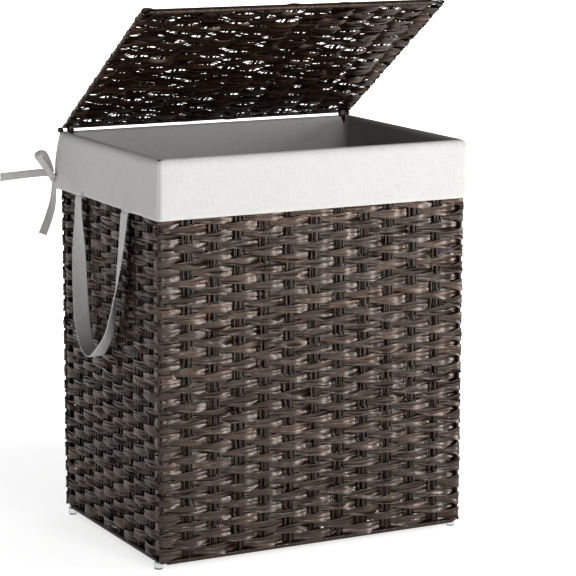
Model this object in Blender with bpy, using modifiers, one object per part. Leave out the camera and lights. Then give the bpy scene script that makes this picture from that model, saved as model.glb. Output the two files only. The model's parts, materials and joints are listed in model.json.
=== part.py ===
"""Woven laundry hamper with a lashed lid, a folded-over cloth liner and webbing handles.

Metres, +Z up, front towards -Y. The origin is on the floor under the middle of the hamper.
Each panel is a welded wire frame with strand woven round its stakes. Four wall panels are tied
at the corners round a floor panel, and the lid turns on its rear rail inside two lashings.
"""

import math

import bmesh
import bpy
from mathutils import Matrix, Vector

# Woven box
WIDTH = 0.460  # left to right, over the weave
DEPTH = 0.330  # front to back, over the weave
WALL_HEIGHT = 0.540  # bottom wrap to top rail
THICKNESS = 0.008  # one woven panel
FLOOR_LIFT = 0.014  # middle of the floor panel above the walls' lower edge

# Wire frames
RAIL_RADIUS = 0.0025
STAKE_RADIUS = 0.0020
BEND_RADIUS = 0.0055  # at a frame's corners, on the wire's centre line
LID_BEND_RADIUS = 0.014  # at the lid's front corners
WIDE_STAKES = 11  # in the front, back, floor and lid
NARROW_STAKES = 8  # in the left and right walls
WRAP = 0.0012  # strand wound round a rail
TIE_RADIUS = 0.0009  # single strand of a corner tie or hinge lashing

# Lid
LID_MARGIN = 0.004  # how far the lid's sides stop short of the walls' outer faces
LID_OPEN_DEG = 33.5  # above closed, as the hamper stands
LASHING_FROM_BEND = 0.0015  # from the end of the lid's corner bend to the lashing

# Cloth
CLOTH = 0.0012
CUFF = 0.080  # liner folded down outside
RIM_GAP = 0.0006  # top rail to cloth
SLIT_WIDTH = 0.008  # through which a hinge lashing passes
SLIT_DEPTH = 0.022

# Glides
FOOT_LIFT = 0.008  # floor to the walls' lower edge
FOOT_RADIUS = 0.006
FOOT_GRIP = 0.0035  # how far a glide's saddle reaches up round its rail
FOOT_INSET = 0.018  # from the front or back face to a glide's centre
FOOT_EDGE = 0.001

# Webbing handles
WEBBING_WIDTH = 0.021
WEBBING = 0.0014
HANDLE_DROP = 0.211  # cuff's hem to the bottom of the loop
HANDLE_SPREAD = 0.155  # between the legs, at the hem
HANDLE_SHIFT = 0.0095  # of the loop's middle, towards the back
HANDLE_STANDOFF = 0.006  # from the woven face to the strap, at its axis
AXIS_BELOW_HEM = 0.006

# Tie ribbons
RIBBON_WIDTH = 0.011
RIBBON = 0.0009
KNOT_RADII = (0.0045, 0.0045, 0.0065)
KNOT_ABOVE_HEM = 0.0145
KNOT_STANDOFF = 0.003  # from the cuff to the knot

# Clearances
GAP = 0.0003  # between pieces that touch
PANEL_GAP = 0.0006  # between one wall's face and the next wall's end
LID_CLEARANCE = 0.0018  # under the closed lid

# Places that follow
WIRE_TO_WEAVE = 2 * TIE_RADIUS + 3 * GAP  # rail's surface to the woven field, where ties pass
TIE_REACH = RAIL_RADIUS + 2 * GAP + 2 * TIE_RADIUS  # a rail's middle to the outside of a tie
CLOTH_OFF = max(THICKNESS / 2, TIE_REACH) + GAP  # a wall's middle to the cloth on either side
RAIL_LIFT = RAIL_RADIUS + GAP + WRAP
WALL_TOP = FOOT_LIFT + WALL_HEIGHT
RIM_TOP = WALL_TOP + RIM_GAP + CLOTH
HEM = RIM_TOP - CUFF
SIDE_X = (WIDTH - THICKNESS) / 2  # middle of the left and right walls
FRONT_Y = (DEPTH - THICKNESS) / 2  # middle of the front and back walls
SIDE_RAIL_Y = DEPTH / 2 - THICKNESS - PANEL_GAP - RAIL_RADIUS  # upright rails of a side wall
RAIL_Z = FOOT_LIFT + RAIL_LIFT
TOP_RAIL_Z = WALL_TOP - RAIL_RADIUS
FLOOR_Z = FOOT_LIFT + FLOOR_LIFT
LID_Z = RIM_TOP + LID_CLEARANCE + THICKNESS / 2
LID_HALF = WIDTH / 2 - LID_MARGIN - RAIL_RADIUS  # hinge centre to a side rail
LID_LENGTH = 2 * FRONT_Y  # rear rail to front rail
LASHING_X = LID_HALF - BEND_RADIUS - LASHING_FROM_BEND
HANDLE_X = WIDTH / 2 + HANDLE_STANDOFF
HANDLE_Z = HEM - AXIS_BELOW_HEM

parts = bpy.data.collections.new("woven_hamper")
helpers = bpy.data.collections.new("cutters")


def clear_scene():
    for thing in list(bpy.data.objects):
        bpy.data.objects.remove(thing)
    bpy.context.scene.collection.children.link(parts)
    bpy.context.scene.collection.children.link(helpers)


def finish_material(name, colour, roughness, metallic=0.0, transmission=0.0):
    made = bpy.data.materials.new(name)
    made.use_nodes = True
    shader = made.node_tree.nodes["Principled BSDF"]
    shader.inputs["Base Color"].default_value = (*colour, 1.0)
    shader.inputs["Roughness"].default_value = roughness
    shader.inputs["Metallic"].default_value = metallic
    shader.inputs["Transmission Weight"].default_value = transmission
    return made


def add_mesh(name, bm, material, collection=parts):
    """The bmesh as an object of that name."""
    mesh = bpy.data.meshes.new(name)
    bm.to_mesh(mesh)
    bm.free()
    made = bpy.data.objects.new(name, mesh)
    if material:
        mesh.materials.append(material)
    collection.objects.link(made)
    return made


def as_helper(thing):
    thing.hide_render = True
    thing.display_type = "WIRE"
    return thing


def combine(target, other, operation):
    step = target.modifiers.new(operation.lower(), "BOOLEAN")
    step.operation = operation
    step.solver = "EXACT"
    step.object = other


def meshed_curve(curve, name, material, collection=parts):
    """The curve's evaluated surface as a welded mesh object, in place of the curve."""
    bpy.context.view_layer.update()
    graph = bpy.context.evaluated_depsgraph_get()
    mesh = bpy.data.meshes.new_from_object(curve.evaluated_get(graph))
    bm = bmesh.new()
    bm.from_mesh(mesh)
    bmesh.ops.remove_doubles(bm, verts=bm.verts, dist=0.00001)
    bmesh.ops.recalc_face_normals(bm, faces=bm.faces)
    bm.to_mesh(mesh)
    bm.free()
    made = bpy.data.objects.new(name, mesh)
    made.matrix_world = curve.matrix_world
    mesh.materials.clear()
    mesh.materials.append(material)
    collection.objects.link(made)
    bpy.data.objects.remove(curve)
    return made


def new_curve(points, cyclic=True, dimensions="3D"):
    """A POLY curve object through the points, linked so that it can be evaluated."""
    data = bpy.data.curves.new("wire", "CURVE")
    data.dimensions = dimensions
    line = data.splines.new("POLY")
    line.points.add(len(points) - 1)
    for point, place in zip(line.points, points):
        point.co = (*place, 1.0)
    line.use_cyclic_u = cyclic
    made = bpy.data.objects.new("wire", data)
    helpers.objects.link(made)
    return made


def wire_ring(name, points, radius, material):
    """A closed loop of round wire along the points."""
    curve = new_curve(points)
    curve.data.bevel_depth = radius
    curve.data.bevel_resolution = 2
    return meshed_curve(curve, name, material)


def bent_rectangle(half_width, low, high, low_bend, high_bend, steps=4):
    """Points of an upright rectangle in the XZ plane, its corners turned as arcs."""
    corners = ((1, high, high_bend, 0), (-1, high, high_bend, 90),
               (-1, low, low_bend, 180), (1, low, low_bend, 270))
    points = []
    for side, level, bend, start in corners:
        x = side * (half_width - bend)
        z = level - math.copysign(bend, level - (low + high) / 2)
        for step in range(steps + 1):
            angle = math.radians(start + 90 * step / steps)
            points.append((x + bend * math.cos(angle), 0, z + bend * math.sin(angle)))
    return points


def oval(first, second, radius, steps=6):
    """Points round two centres in a plane, each (across, up), at that radius."""
    along = Vector(second) - Vector(first)
    start = math.degrees(math.atan2(along.y, along.x)) + 90
    points = []
    for centre, turned in ((first, start), (second, start + 180)):
        for step in range(steps + 1):
            angle = math.radians(turned + 180 * step / steps)
            points.append((
                centre[0] + radius * math.cos(angle),
                centre[1] + radius * math.sin(angle),
            ))
    return points


def stake_places(half_width, count):
    pitch = 2 * half_width / (count + 1)
    return [(i + 1) * pitch - half_width for i in range(count)]


def stake_rods(name, places, low, high, radius):
    """Upright eight-sided rods in the XZ plane, as one mesh."""
    bm = bmesh.new()
    for x in places:
        place = Matrix.Translation((x, 0, (low + high) / 2))
        bmesh.ops.create_cone(
            bm, cap_ends=True, segments=8, radius1=radius, radius2=radius,
            depth=high - low, matrix=place,
        )
    return as_helper(add_mesh(name, bm, None, helpers))


def box(name, low, high, material=None, collection=parts):
    bm = bmesh.new()
    bmesh.ops.create_cube(bm, size=1.0)
    size = Vector(high) - Vector(low)
    bmesh.ops.scale(bm, verts=bm.verts, vec=size)
    bmesh.ops.translate(bm, verts=bm.verts, vec=(Vector(high) + Vector(low)) / 2)
    return add_mesh(name, bm, material, collection)


def trim_corners(weave, cut):
    """Cuts the plate's two upper corners off at 45 degrees, to clear a wide bend in its rail."""
    bm = bmesh.new()
    bm.from_mesh(weave.data)
    top = max(vertex.co.z for vertex in bm.verts)
    corners = [
        edge for edge in bm.edges
        if all(vertex.co.z == top for vertex in edge.verts)
        and edge.verts[0].co.x == edge.verts[1].co.x
    ]
    bmesh.ops.bevel(bm, geom=corners, offset=cut, segments=1, affect="EDGES")
    bm.to_mesh(weave.data)
    bm.free()


def woven_panel(name, half_width, low, high, stakes, high_bend=BEND_RADIUS):
    """A wire frame with its stakes, and the woven field inside it, standing in the XZ plane.

    half_width, low and high are to the centre lines of the rails.
    """
    places = stake_places(half_width, stakes)
    outline = bent_rectangle(half_width, low, high, BEND_RADIUS, high_bend)
    frame = wire_ring(f"{name}_frame", outline, RAIL_RADIUS, coated_wire)
    combine(frame, stake_rods(f"{name}_stakes", places, low, high, STAKE_RADIUS), "UNION")
    edge = RAIL_RADIUS + WIRE_TO_WEAVE
    weave = box(
        f"{name}_weave",
        (edge - half_width, -THICKNESS / 2, low + edge),
        (half_width - edge, THICKNESS / 2, high - edge),
        strand,
    )
    if high_bend > BEND_RADIUS:
        trim_corners(weave, high_bend - BEND_RADIUS)
    channels = stake_rods(f"{name}_channels", places, low, high, STAKE_RADIUS + GAP)
    combine(weave, channels, "DIFFERENCE")
    return [frame, weave, frame.modifiers[0].object, channels]


def rail_wrap(name, half_length, opening_deg):
    """Strand wound along a rail on the X axis, as a sleeve open towards the woven field."""
    inner = RAIL_RADIUS + GAP
    outer = inner + WRAP
    slot = math.degrees(math.asin((STAKE_RADIUS + GAP) / inner))
    steps = 10
    angles = [opening_deg + slot + (360 - 2 * slot) * i / steps for i in range(steps + 1)]
    ring = [(outer, a) for a in angles] + [(inner, a) for a in reversed(angles)]
    points = [(r * math.cos(math.radians(a)), r * math.sin(math.radians(a)), 0) for r, a in ring]
    curve = new_curve(points, dimensions="2D")
    curve.data.fill_mode = "BOTH"
    curve.data.extrude = half_length
    wrap = meshed_curve(curve, name, strand)
    wrap.data.transform(Matrix(((0, 0, 1, 0), (1, 0, 0, 0), (0, 1, 0, 0), (0, 0, 0, 1))))
    return wrap


def stand(things, turn, place):
    """Turns the pieces, built on the XZ plane, and moves them to their place."""
    for thing in things:
        thing.matrix_world = Matrix.Translation(place) @ turn


def build_walls():
    for name, y in (("front", -FRONT_Y), ("back", FRONT_Y)):
        pieces = woven_panel(name, SIDE_X, RAIL_Z, TOP_RAIL_Z, WIDE_STAKES)
        stand(pieces, Matrix.Identity(4), (0, y, 0))
        wrap = rail_wrap(f"{name}_bottom_wrap", SIDE_X - BEND_RADIUS - GAP, 90)
        stand([wrap], Matrix.Identity(4), (0, y, RAIL_Z))
    for name, x in (("left", -SIDE_X), ("right", SIDE_X)):
        turn = Matrix.Rotation(math.radians(90), 4, "Z")
        pieces = woven_panel(name, SIDE_RAIL_Y, RAIL_Z, TOP_RAIL_Z, NARROW_STAKES)
        stand(pieces, turn, (x, 0, 0))
        wrap = rail_wrap(f"{name}_bottom_wrap", SIDE_RAIL_Y - BEND_RADIUS - GAP, 90)
        stand([wrap], turn, (x, 0, RAIL_Z))


def build_floor_panel():
    half_width = WIDTH / 2 - THICKNESS - PANEL_GAP - RAIL_RADIUS
    pieces = woven_panel("floor", half_width, -SIDE_RAIL_Y, SIDE_RAIL_Y, WIDE_STAKES)
    stand(pieces, Matrix.Rotation(math.radians(90), 4, "X"), (0, 0, FLOOR_Z))


def build_corner_ties():
    """Three strand ties round the two upright rails at each corner."""
    radius = RAIL_RADIUS + 2 * GAP + TIE_RADIUS
    heights = [RAIL_Z + (TOP_RAIL_Z - RAIL_Z) * share for share in (1 / 6, 1 / 2, 5 / 6)]
    for side, x in (("left", -SIDE_X), ("right", SIDE_X)):
        for end, sign in (("front", -1), ("back", 1)):
            around = oval((x, sign * FRONT_Y), (x, sign * SIDE_RAIL_Y), radius)
            for level, z in zip(("low", "middle", "high"), heights):
                name = f"corner_tie_{end}_{side}_{level}"
                wire_ring(name, [(*point, z) for point in around], TIE_RADIUS, strand)


def build_lid():
    """The lid's pieces hang on an empty on the hinge axis, so that it turns them all."""
    hinge = bpy.data.objects.new("lid_hinge", None)
    parts.objects.link(hinge)
    hinge.location = (0, FRONT_Y, LID_Z)
    hinge.rotation_euler = (math.radians(90 - LID_OPEN_DEG), 0, 0)
    pieces = woven_panel("lid", LID_HALF, 0, LID_LENGTH, WIDE_STAKES, LID_BEND_RADIUS)
    wrap = rail_wrap("lid_front_wrap", LID_HALF - LID_BEND_RADIUS - GAP, -90)
    wrap.location = (0, 0, LID_LENGTH)
    for piece in [*pieces, wrap]:
        piece.parent = hinge


def build_hinge_lashings():
    """A ring of strand round the lid's rear rail and the back wall's top rail, at each end."""
    radius = RAIL_RADIUS + 2 * GAP + TIE_RADIUS
    around = oval((FRONT_Y, TOP_RAIL_Z), (FRONT_Y, LID_Z), radius)
    for side, x in (("left", -LASHING_X), ("right", LASHING_X)):
        wire_ring(f"hinge_lashing_{side}", [(x, *point) for point in around], TIE_RADIUS, strand)


def build_glides():
    """Clear glides, each a stub with a saddle that grips a side wall's bottom rail."""
    top = FOOT_LIFT + FOOT_GRIP
    place = DEPTH / 2 - FOOT_INSET
    for side, x in (("left", -SIDE_X), ("right", SIDE_X)):
        for end, y in (("front", -place), ("back", place)):
            bpy.ops.mesh.primitive_cylinder_add(
                vertices=24, radius=FOOT_RADIUS, depth=top, location=(x, y, top / 2)
            )
            glide = bpy.context.object
            glide.name = f"glide_{end}_{side}"
            glide.data.materials.append(clear_plastic)
            for collection in list(glide.users_collection):
                collection.objects.unlink(glide)
            parts.objects.link(glide)
            bm = bmesh.new()
            reach = (RAIL_LIFT + GAP) / math.cos(math.radians(180 / 16))
            bmesh.ops.create_cone(
                bm, cap_ends=True, segments=16, radius1=reach, radius2=reach,
                depth=4 * FOOT_RADIUS, matrix=Matrix.Rotation(math.radians(90), 4, "X"),
            )
            groove = as_helper(add_mesh(f"groove_{end}_{side}", bm, None, helpers))
            groove.location = (x, y, RAIL_Z)
            combine(glide, groove, "DIFFERENCE")
            edge = glide.modifiers.new("edge", "BEVEL")
            edge.width = FOOT_EDGE
            edge.segments = 2
            edge.angle_limit = math.radians(80)
            edge.use_clamp_overlap = False
            glide.modifiers.move(1, 0)
            glide.data.shade_smooth()
            glide.data.set_sharp_from_angle(angle=math.radians(40))


def liner_panel(name, middle, half_length, turn):
    """One side of the liner: up the inside, over the rim and down outside as the cuff.

    middle is the distance from the hamper's middle to the woven wall's. The ends are mitred, so
    that four panels meet at the corners.
    """
    outer = middle + CLOTH_OFF + CLOTH
    inner = middle - CLOTH_OFF - CLOTH
    foot = FLOOR_Z + THICKNESS / 2 + GAP
    profile = (
        (outer, HEM), (outer, RIM_TOP), (inner, RIM_TOP), (inner, foot),
        (inner + CLOTH, foot), (inner + CLOTH, RIM_TOP - CLOTH),
        (outer - CLOTH, RIM_TOP - CLOTH), (outer - CLOTH, HEM),
    )
    curve = new_curve([(n, z, 0) for n, z in profile], dimensions="2D")
    curve.data.fill_mode = "BOTH"
    curve.data.extrude = half_length
    panel = meshed_curve(curve, name, cotton)
    panel.data.transform(Matrix(((0, 0, -1, 0), (-1, 0, 0, 0), (0, 1, 0, 0), (0, 0, 0, 1))))
    for vertex in panel.data.vertices:
        inset = outer + vertex.co.y + GAP / 2
        vertex.co.x = math.copysign(half_length - inset, vertex.co.x)
    stand([panel], turn, (0, 0, 0))
    return panel


def build_liner():
    reach = CLOTH_OFF + CLOTH
    for name, middle, length, angle in (
        ("front", FRONT_Y, SIDE_X + reach, 0),
        ("right", SIDE_X, FRONT_Y + reach, 90),
        ("back", FRONT_Y, SIDE_X + reach, 180),
        ("left", SIDE_X, FRONT_Y + reach, 270),
    ):
        turn = Matrix.Rotation(math.radians(angle), 4, "Z")
        panel = liner_panel(f"liner_{name}", middle, length, turn)
        if name == "back":
            for side, x in (("left", -LASHING_X), ("right", LASHING_X)):
                slit = box(
                    f"slit_{side}",
                    (x - SLIT_WIDTH / 2, FRONT_Y - 2 * THICKNESS, RIM_TOP - SLIT_DEPTH),
                    (x + SLIT_WIDTH / 2, FRONT_Y + 2 * THICKNESS, RIM_TOP + CLOTH),
                    collection=helpers,
                )
                combine(panel, as_helper(slit), "DIFFERENCE")
    low = FLOOR_Z + THICKNESS / 2 + GAP
    across = SIDE_X - reach - GAP
    deep = FRONT_Y - reach - GAP
    box("liner_floor", (-across, -deep, low), (across, deep, low + CLOTH), cotton)


def through(points, samples):
    """Points evenly along a smooth curve through the given ones, each a tuple of numbers."""
    ends = [2 * Vector(points[0]) - Vector(points[1]), 2 * Vector(points[-1]) - Vector(points[-2])]
    knots = [ends[0], *map(Vector, points), ends[1]]
    found = []
    for i in range(samples):
        place = i / (samples - 1) * (len(points) - 1)
        k = min(int(place), len(points) - 2)
        t = place - k
        a, b, c, d = knots[k : k + 4]
        found.append(
            0.5 * (2 * b + (c - a) * t + (2 * a - 5 * b + 4 * c - d) * t**2
                   + (3 * b - a - 3 * c + d) * t**3)
        )
    return found


def ribbon(name, path, turns, width, thickness, samples, material, origin=(0, 0, 0), side=-1):
    """A flat band along the path. turns gives, for each point, the compass angle of its width.

    A turn is (degrees about Z from +X, degrees up from level). side 1 mirrors it to the right.
    """
    line = through(path, samples)
    angles = through(turns, samples)
    bm = bmesh.new()
    bmesh.ops.create_grid(bm, x_segments=samples - 1, y_segments=1, size=1.0)
    flip = Vector((-side, 1, 1))
    for vertex in bm.verts:
        k = round((vertex.co.x + 1) / 2 * (samples - 1))
        compass, rise = (math.radians(value) for value in angles[k])
        across = Vector((
            math.cos(rise) * math.cos(compass),
            math.cos(rise) * math.sin(compass),
            math.sin(rise),
        ))
        place = line[k] + across * (width / 2 * math.copysign(1, vertex.co.y))
        vertex.co = place * flip - Vector(origin)
    bmesh.ops.recalc_face_normals(bm, faces=bm.faces)
    made = add_mesh(name, bm, material)
    made.location = origin
    wall = made.modifiers.new("thickness", "SOLIDIFY")
    wall.thickness = thickness
    wall.offset = 0
    return made


def build_handles():
    """Flat webbing loops whose ends lie against the wall and whose bottom hangs edge to it."""
    back = HANDLE_SHIFT + HANDLE_SPREAD / 2
    front = HANDLE_SHIFT - HANDLE_SPREAD / 2
    depth = HANDLE_DROP - AXIS_BELOW_HEM
    top = HANDLE_Z - GAP
    path = (
        (-HANDLE_X, back, top),
        (-HANDLE_X - 0.001, back - 0.002, top - 0.15 * depth),
        (-HANDLE_X - 0.003, back - 0.007, top - 0.35 * depth),
        (-HANDLE_X - 0.006, back - 0.016, top - 0.60 * depth),
        (-HANDLE_X - 0.007, back - 0.025, top - 0.82 * depth),
        (-HANDLE_X - 0.007, back - 0.041, top - 0.96 * depth),
        (-HANDLE_X - 0.007, back - 0.064, top - depth),
        (-HANDLE_X - 0.007, back - 0.085, top - 0.95 * depth),
        (-HANDLE_X - 0.006, front + 0.040, top - 0.80 * depth),
        (-HANDLE_X - 0.005, front + 0.025, top - 0.58 * depth),
        (-HANDLE_X - 0.003, front + 0.013, top - 0.35 * depth),
        (-HANDLE_X - 0.001, front + 0.005, top - 0.14 * depth),
        (-HANDLE_X, front, top),
    )
    turns = (
        (-90, 0), (-80, 0), (-52, 0), (-30, 0), (-15, 0), (-5, 0), (0, 0),
        (8, 0), (32, 0), (58, 0), (76, 0), (86, 0), (90, 0),
    )
    for name, side in (("handle_left", -1), ("handle_right", 1)):
        origin = (side * HANDLE_X, HANDLE_SHIFT, HANDLE_Z)
        ribbon(name, path, turns, WEBBING_WIDTH, WEBBING, 49, cotton, origin, side)


def build_bows():
    """Tie ribbons knotted at each rear corner, where the cuff is slit for the lashing."""
    x = -(SIDE_X + CLOTH_OFF + CLOTH + KNOT_STANDOFF + KNOT_RADII[0])
    y = DEPTH / 2 + 0.001
    z = HEM + KNOT_ABOVE_HEM
    pieces = {
        "bow_tail_out": (
            ((x - 0.0055, y + 0.003, z + 0.0075), (x - 0.020, y + 0.005, z + 0.0078),
             (x - 0.045, y + 0.006, z + 0.0068), (x - 0.078, y + 0.005, z + 0.0052)),
            ((-90, 80), (-90, 86), (-90, 88), (-90, 86)), 13,
        ),
        "bow_tail_down": (
            ((x + 0.001, y, z - 0.0075), (x - 0.002, y - 0.001, z - 0.031),
             (x - 0.009, y - 0.002, z - 0.054), (x - 0.019, y - 0.002, z - 0.078)),
            ((-60, -5), (-42, -8), (-30, -14), (-26, -20)), 13,
        ),
        "bow_loop": (
            ((x - 0.0040, y - 0.0062, z + 0.0010), (x - 0.0108, y - 0.0030, z + 0.0130),
             (x - 0.0180, y - 0.0010, z + 0.0235), (x - 0.0235, y + 0.0010, z + 0.0320),
             (x - 0.0195, y + 0.0085, z + 0.0375), (x - 0.0090, y + 0.0150, z + 0.0340),
             (x - 0.0045, y + 0.0120, z + 0.0240), (x - 0.0020, y + 0.0090, z + 0.0140),
             (x - 0.0010, y + 0.0066, z + 0.0060)),
            ((-50, 37),) * 9, 31,
        ),
    }
    for end, side in (("left", -1), ("right", 1)):
        bpy.ops.mesh.primitive_uv_sphere_add(
            segments=16, ring_count=10, radius=1.0, location=(-side * x, y, z)
        )
        knot = bpy.context.object
        knot.name = f"bow_knot_{end}"
        knot.data.transform(Matrix.Diagonal((*KNOT_RADII, 1.0)))
        knot.data.materials.append(cotton)
        knot.data.shade_smooth()
        for collection in list(knot.users_collection):
            collection.objects.unlink(knot)
        parts.objects.link(knot)
        for name, (path, turns, samples) in pieces.items():
            ribbon(f"{name}_{end}", path, turns, RIBBON_WIDTH, RIBBON, samples, cotton, side=side)


clear_scene()
coated_wire = finish_material("coated_wire", (0.035, 0.025, 0.020), 0.45, 0.6)
strand = finish_material("strand", (0.050, 0.034, 0.027), 0.42)
cotton = finish_material("cotton", (0.84, 0.83, 0.80), 0.92)
clear_plastic = finish_material("clear_plastic", (0.92, 0.93, 0.94), 0.12, 0.0, 0.8)
build_walls()
build_floor_panel()
build_corner_ties()
build_lid()
build_hinge_lashings()
build_glides()
build_liner()
build_handles()
build_bows()
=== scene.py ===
import json
import math

import bpy
import numpy as np
from mathutils import Matrix, Vector


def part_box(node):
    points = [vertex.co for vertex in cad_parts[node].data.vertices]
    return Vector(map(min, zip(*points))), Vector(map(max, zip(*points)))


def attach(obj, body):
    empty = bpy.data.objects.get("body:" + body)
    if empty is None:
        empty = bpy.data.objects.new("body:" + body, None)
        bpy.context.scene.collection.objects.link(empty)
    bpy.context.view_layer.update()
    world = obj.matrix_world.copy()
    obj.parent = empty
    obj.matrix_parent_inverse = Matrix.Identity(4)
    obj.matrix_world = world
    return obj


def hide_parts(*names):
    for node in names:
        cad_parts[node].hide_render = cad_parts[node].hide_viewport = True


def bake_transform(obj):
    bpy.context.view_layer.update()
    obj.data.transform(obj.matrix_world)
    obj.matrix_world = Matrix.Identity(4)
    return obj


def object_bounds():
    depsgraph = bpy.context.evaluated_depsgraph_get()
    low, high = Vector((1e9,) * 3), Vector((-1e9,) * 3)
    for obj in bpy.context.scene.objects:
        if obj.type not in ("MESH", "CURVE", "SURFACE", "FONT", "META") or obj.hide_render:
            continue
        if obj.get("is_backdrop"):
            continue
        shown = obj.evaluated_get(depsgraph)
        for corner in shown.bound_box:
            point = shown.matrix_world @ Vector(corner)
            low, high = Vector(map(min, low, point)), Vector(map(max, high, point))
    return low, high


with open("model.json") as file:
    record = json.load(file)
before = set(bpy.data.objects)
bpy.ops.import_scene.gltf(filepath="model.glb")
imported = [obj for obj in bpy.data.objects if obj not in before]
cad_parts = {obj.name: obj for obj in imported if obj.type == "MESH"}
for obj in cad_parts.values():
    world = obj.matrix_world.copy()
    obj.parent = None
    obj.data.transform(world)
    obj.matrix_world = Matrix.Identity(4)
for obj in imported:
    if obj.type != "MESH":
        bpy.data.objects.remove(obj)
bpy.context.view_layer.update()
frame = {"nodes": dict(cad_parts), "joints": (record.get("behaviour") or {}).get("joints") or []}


# The studio. The hamper stands on a wide pale floor that fills the view. A tall soft light on the
# right glances along the front wall, a softer one stands in front, and the rest is even fill.
def bare():
    """Leaves nothing selected, so that an operator acts only on what is made next."""
    if bpy.context.object and bpy.context.object.mode != "OBJECT":
        bpy.ops.object.mode_set(mode="OBJECT")
    bpy.ops.object.select_all(action="DESELECT")


def named(name):
    """The object just made, given its name."""
    made = bpy.context.object
    made.name = made.data.name = name
    return made


def principled(name, colour, roughness, **more):
    """A new material, its node tree and its shader, with plain values on the shader's sockets."""
    material = bpy.data.materials.new(name)
    material.use_nodes = True
    tree = material.node_tree
    shader = tree.nodes["Principled BSDF"]
    shader.inputs["Base Color"].default_value = (*colour, 1.0)
    shader.inputs["Roughness"].default_value = roughness
    for socket, value in more.items():
        shader.inputs[socket.replace("_", " ")].default_value = value
    return material, tree, shader


bare()
bpy.ops.mesh.primitive_circle_add(
    vertices=96, radius=30, fill_type="NGON", location=(0, 0, -0.0002)
)
floor = named("floor")
pale, tree, shader = principled("pale_floor", (0.80, 0.80, 0.80), 0.9, Emission_Strength=0.5)
place = tree.nodes.new("ShaderNodeTexCoord").outputs["Object"]
far = tree.nodes.new("ShaderNodeVectorMath")
far.operation = "LENGTH"
tree.links.new(place, far.inputs[0])
lit = tree.nodes.new("ShaderNodeMapRange")
lit.inputs["From Min"].default_value, lit.inputs["From Max"].default_value = 0.5, 2.2
lit.inputs["To Min"].default_value, lit.inputs["To Max"].default_value = 0.5, 0.95
tree.links.new(far.outputs["Value"], lit.inputs["Value"])
tree.links.new(lit.outputs["Result"], shader.inputs["Emission Strength"])
shader.inputs["Emission Color"].default_value = (1, 1, 1, 1)
floor.data.materials.append(pale)
floor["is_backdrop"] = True

world = bpy.data.worlds.new("fill")
world.use_nodes = True
world.node_tree.nodes["Background"].inputs["Color"].default_value = (1, 1, 1, 1)
world.node_tree.nodes["Background"].inputs["Strength"].default_value = 0.22
bpy.context.scene.world = world
bpy.context.scene.view_settings.view_transform = "Standard"
bpy.context.scene.view_settings.look = "High Contrast"


def soft_light(name, place, aim, width, height, power):
    data = bpy.data.lights.new(name, "AREA")
    data.shape = "RECTANGLE"
    data.size, data.size_y, data.energy = width, height, power
    light = bpy.data.objects.new(name, data)
    light.location = place
    light.rotation_mode = "QUATERNION"
    light.rotation_quaternion = (Vector(aim) - Vector(place)).to_track_quat("-Z", "Y")
    bpy.context.scene.collection.objects.link(light)


soft_light("side", (1.82, -1.72, 0.62), (0.0, -0.1, 0.32), 0.24, 1.2, 21)
soft_light("front", (0.3, -3.0, 1.25), (0.0, 0.0, 0.50), 1.0, 0.6, 19)

# The camera, a long lens a little above the rim, looking at the front and the left side.
camera = bpy.data.objects.new("camera", bpy.data.cameras.new("camera"))
camera.data.lens = 152.17
camera.data.clip_end = 100
camera.matrix_world = (
    Matrix.Translation((-1.51706, -2.97639, 0.97063))
    @ Matrix.Rotation(-0.48293, 4, "Z")
    @ Matrix.Rotation(math.pi / 2 - 0.18798, 4, "X")
    @ Matrix.Rotation(0.00275, 4, "Z")
)
bpy.context.scene.collection.objects.link(camera)
bpy.context.scene.camera = camera


# The wire frames. Each panel is a ring of 5 mm steel wire with thinner stakes welded across it,
# dipped in a dark brown coat that is smooth and a little glossy, with fine ripples where it ran.
def node(tree, kind, place=(0, 0), **settings):
    made = tree.nodes.new(kind)
    made.location = place
    for name, value in settings.items():
        setattr(made, name, value)
    return made


def ramp(tree, factor, *stops):
    """A colour ramp over the factor, its stops given as (position, colour)."""
    made = node(tree, "ShaderNodeValToRGB")
    ends = made.color_ramp.elements
    for _ in stops[2:]:
        ends.new(0.5)
    for end, (position, colour) in zip(ends, stops):
        end.position = position
        end.color = (*colour, 1.0)
    tree.links.new(factor, made.inputs["Fac"])
    return made.outputs["Color"]


def noise(tree, vector, scale, detail=3.0, roughness=0.55):
    made = node(tree, "ShaderNodeTexNoise")
    made.inputs["Scale"].default_value = scale
    made.inputs["Detail"].default_value = detail
    made.inputs["Roughness"].default_value = roughness
    tree.links.new(vector, made.inputs["Vector"])
    return made.outputs["Fac"]


def scaled(tree, vector, scale, turned=(0, 0, 0)):
    made = node(tree, "ShaderNodeMapping")
    made.inputs["Scale"].default_value = scale
    made.inputs["Rotation"].default_value = turned
    tree.links.new(vector, made.inputs["Vector"])
    return made.outputs["Vector"]


def bumped(tree, shader, height, strength, distance):
    made = node(tree, "ShaderNodeBump")
    made.inputs["Strength"].default_value = strength
    made.inputs["Distance"].default_value = distance
    tree.links.new(height, made.inputs["Height"])
    tree.links.new(made.outputs["Normal"], shader.inputs["Normal"])


coated_wire, tree, shader = principled("coated_wire", (0.012, 0.009, 0.008), 0.3, Coat_Weight=0.3)
place = node(tree, "ShaderNodeTexCoord").outputs["Object"]
coat_colour = ramp(
    tree, noise(tree, place, 60), (0.35, (0.006, 0.005, 0.005)), (0.75, (0.020, 0.013, 0.010))
)
tree.links.new(coat_colour, shader.inputs["Base Color"])
bumped(tree, shader, noise(tree, place, 220), 0.25, 0.0006)
for panel in ("front", "back", "left", "right", "floor", "lid"):
    wire = frame["nodes"][f"{panel}_frame"]
    wire.data.materials.clear()
    wire.data.materials.append(coated_wire)


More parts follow.
